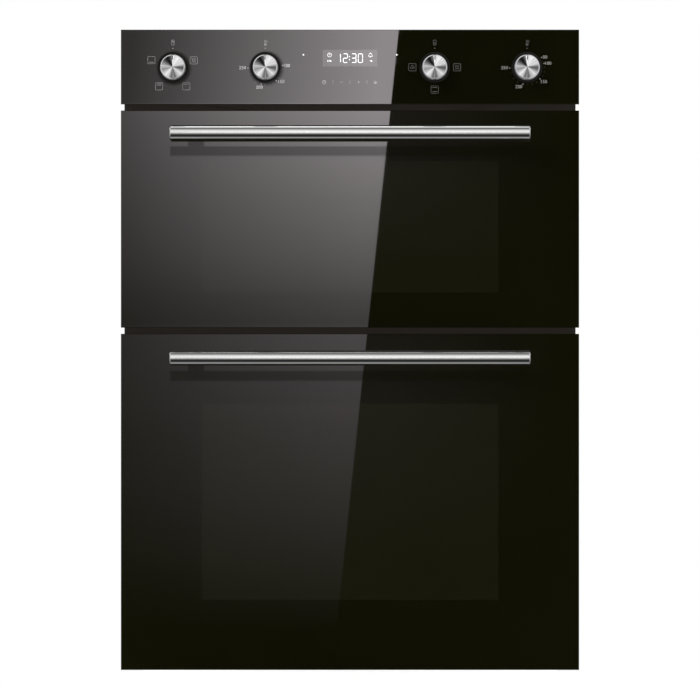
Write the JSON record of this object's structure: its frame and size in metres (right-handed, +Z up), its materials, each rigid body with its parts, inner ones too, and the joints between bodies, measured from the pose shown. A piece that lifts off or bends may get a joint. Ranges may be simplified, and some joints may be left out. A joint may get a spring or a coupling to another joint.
{
  "type": "built-in double oven",
  "caption": "Built-in electric double oven: black glass control panel with round knobs and clock, over two drop-down glass doors with tubular steel handles.",
  "frame": {"origin": "middle of the base, at the bottom of the bounding box", "axes": "+Z up, -Y out of the front towards the user, +X to the user's right when facing the oven"},
  "size_m": [0.595, 0.6212, 0.832],
  "materials": {
    "black_glass": "polished, back-painted black",
    "inner_glass": "clear heat-resistant",
    "black_enamel": "satin black",
    "cavity_enamel": "gloss speckled dark enamel",
    "brushed_handle": "fine brushed",
    "spun_aluminium": "spun",
    "zinc_sheet": "galvanised sheet",
    "zinc_steel": "zinc plated",
    "fan_sheet": "aluminised sheet",
    "element_steel": "heat-darkened",
    "chrome_wire": "bright",
    "wool": "fibrous",
    "seal_braid": "woven, matt",
    "black_plastic": "gloss",
    "switch_plastic": "matt",
    "dark_plastic": "matt",
    "motor_steel": "bare lamination grey",
    "probe_copper": "copper",
    "harness_sleeve": "woven sleeve",
    "lamp_glass": "frosted",
    "lamp_ceramic": "unglazed",
    "neon_lens": "tinted"
  },
  "bodies": {
    "casing": {"base_panel": "zinc_sheet", "side_panels": "zinc_sheet", "back_panel": "zinc_sheet", "top_cover": "zinc_sheet", "casing_screws": "zinc_steel", "front_frame": "black_enamel", "upper_cavity": "cavity_enamel", "lower_cavity": "cavity_enamel", "insulation_jackets": "wool", "door_seals": "seal_braid", "grill_element": "element_steel", "base_element": "element_steel", "fan_element": "element_steel", "fan_cover": "cavity_enamel", "fan_motor": "motor_steel", "upper_shelf_runners": "chrome_wire", "lower_shelf_runners": "chrome_wire", "lamp_lenses": "lamp_glass", "lamp_holders": "lamp_ceramic", "control_panel_glass": "black_glass", "control_panel_carrier": "zinc_sheet", "clock_module": "dark_plastic", "indicator_lights": "neon_lens", "selector_switches": "switch_plastic", "thermostats": "switch_plastic", "thermostat_probes": "probe_copper", "knob_bezels": "black_plastic", "blower_housing": "fan_sheet", "blower_motor": "motor_steel", "terminal_box": "dark_plastic", "hinge_arms": "zinc_steel", "wiring_harness": "harness_sleeve"},
    "upper_door": {"upper_door_outer_glass": "black_glass", "upper_door_inner_glass": "inner_glass", "upper_door_columns": "black_enamel", "upper_door_rails": "black_enamel", "upper_door_hinges": "zinc_steel", "upper_handle_bar": "brushed_handle", "upper_handle_posts": "brushed_handle"},
    "lower_door": {"lower_door_outer_glass": "black_glass", "lower_door_inner_glass": "inner_glass", "lower_door_columns": "black_enamel", "lower_door_rails": "black_enamel", "lower_door_hinges": "zinc_steel", "lower_handle_bar": "brushed_handle", "lower_handle_posts": "brushed_handle"},
    "upper_selector": {"upper_selector_knob": "spun_aluminium", "upper_selector_shaft": "zinc_steel"},
    "upper_thermostat": {"upper_thermostat_knob": "spun_aluminium", "upper_thermostat_shaft": "zinc_steel"},
    "lower_selector": {"lower_selector_knob": "spun_aluminium", "lower_selector_shaft": "zinc_steel"},
    "lower_thermostat": {"lower_thermostat_knob": "spun_aluminium", "lower_thermostat_shaft": "zinc_steel"},
    "convection_fan": {"fan_blade": "fan_sheet", "fan_shaft": "zinc_steel"},
    "cooling_impeller": {"blower_impeller": "fan_sheet"},
    "upper_shelf": {"upper_wire_shelf": "chrome_wire"},
    "grill_tray": {"grill_pan": "black_enamel"},
    "lower_shelf": {"lower_wire_shelf": "chrome_wire"}
  },
  "joints": [
    {"name": "upper_door_hinge", "type": "hinge", "parent": "casing", "child": "upper_door", "pos_m": [0, -0.25, 0.453], "axis": [1, 0, 0], "range_deg": [0, 90], "stiffness_Nm_per_rad": 4, "springref_deg": -14.32},
    {"name": "lower_door_hinge", "type": "hinge", "parent": "casing", "child": "lower_door", "pos_m": [0, -0.25, 0.0085], "axis": [1, 0, 0], "range_deg": [0, 90], "stiffness_Nm_per_rad": 7.5, "springref_deg": -14.32},
    {"name": "upper_selector_turn", "type": "hinge", "parent": "casing", "child": "upper_selector", "pos_m": [-0.23, -0.262, 0.7832], "axis": [0, 1, 0], "continuous": true},
    {"name": "upper_thermostat_turn", "type": "hinge", "parent": "casing", "child": "upper_thermostat", "pos_m": [-0.11, -0.262, 0.7832], "axis": [0, 1, 0], "range_deg": [0, 270]},
    {"name": "lower_selector_turn", "type": "hinge", "parent": "casing", "child": "lower_selector", "pos_m": [0.11, -0.262, 0.7832], "axis": [0, 1, 0], "continuous": true},
    {"name": "lower_thermostat_turn", "type": "hinge", "parent": "casing", "child": "lower_thermostat", "pos_m": [0.23, -0.262, 0.7832], "axis": [0, 1, 0], "range_deg": [0, 270]},
    {"name": "convection_fan_spin", "type": "hinge", "parent": "casing", "child": "convection_fan", "pos_m": [0, 0.18, 0.223], "axis": [0, 1, 0], "continuous": true},
    {"name": "cooling_impeller_spin", "type": "hinge", "parent": "casing", "child": "cooling_impeller", "pos_m": [0, -0.005, 0.763], "axis": [1, 0, 0], "continuous": true},
    {"name": "upper_shelf_slide", "type": "slide", "parent": "casing", "child": "upper_shelf", "axis": [0, -1, 0], "range_m": [0, 0.03]},
    {"name": "grill_tray_slide", "type": "slide", "parent": "casing", "child": "grill_tray", "axis": [0, -1, 0], "range_m": [0, 0.03]},
    {"name": "lower_shelf_slide", "type": "slide", "parent": "casing", "child": "lower_shelf", "axis": [0, -1, 0], "range_m": [0, 0.03]}
  ]
}
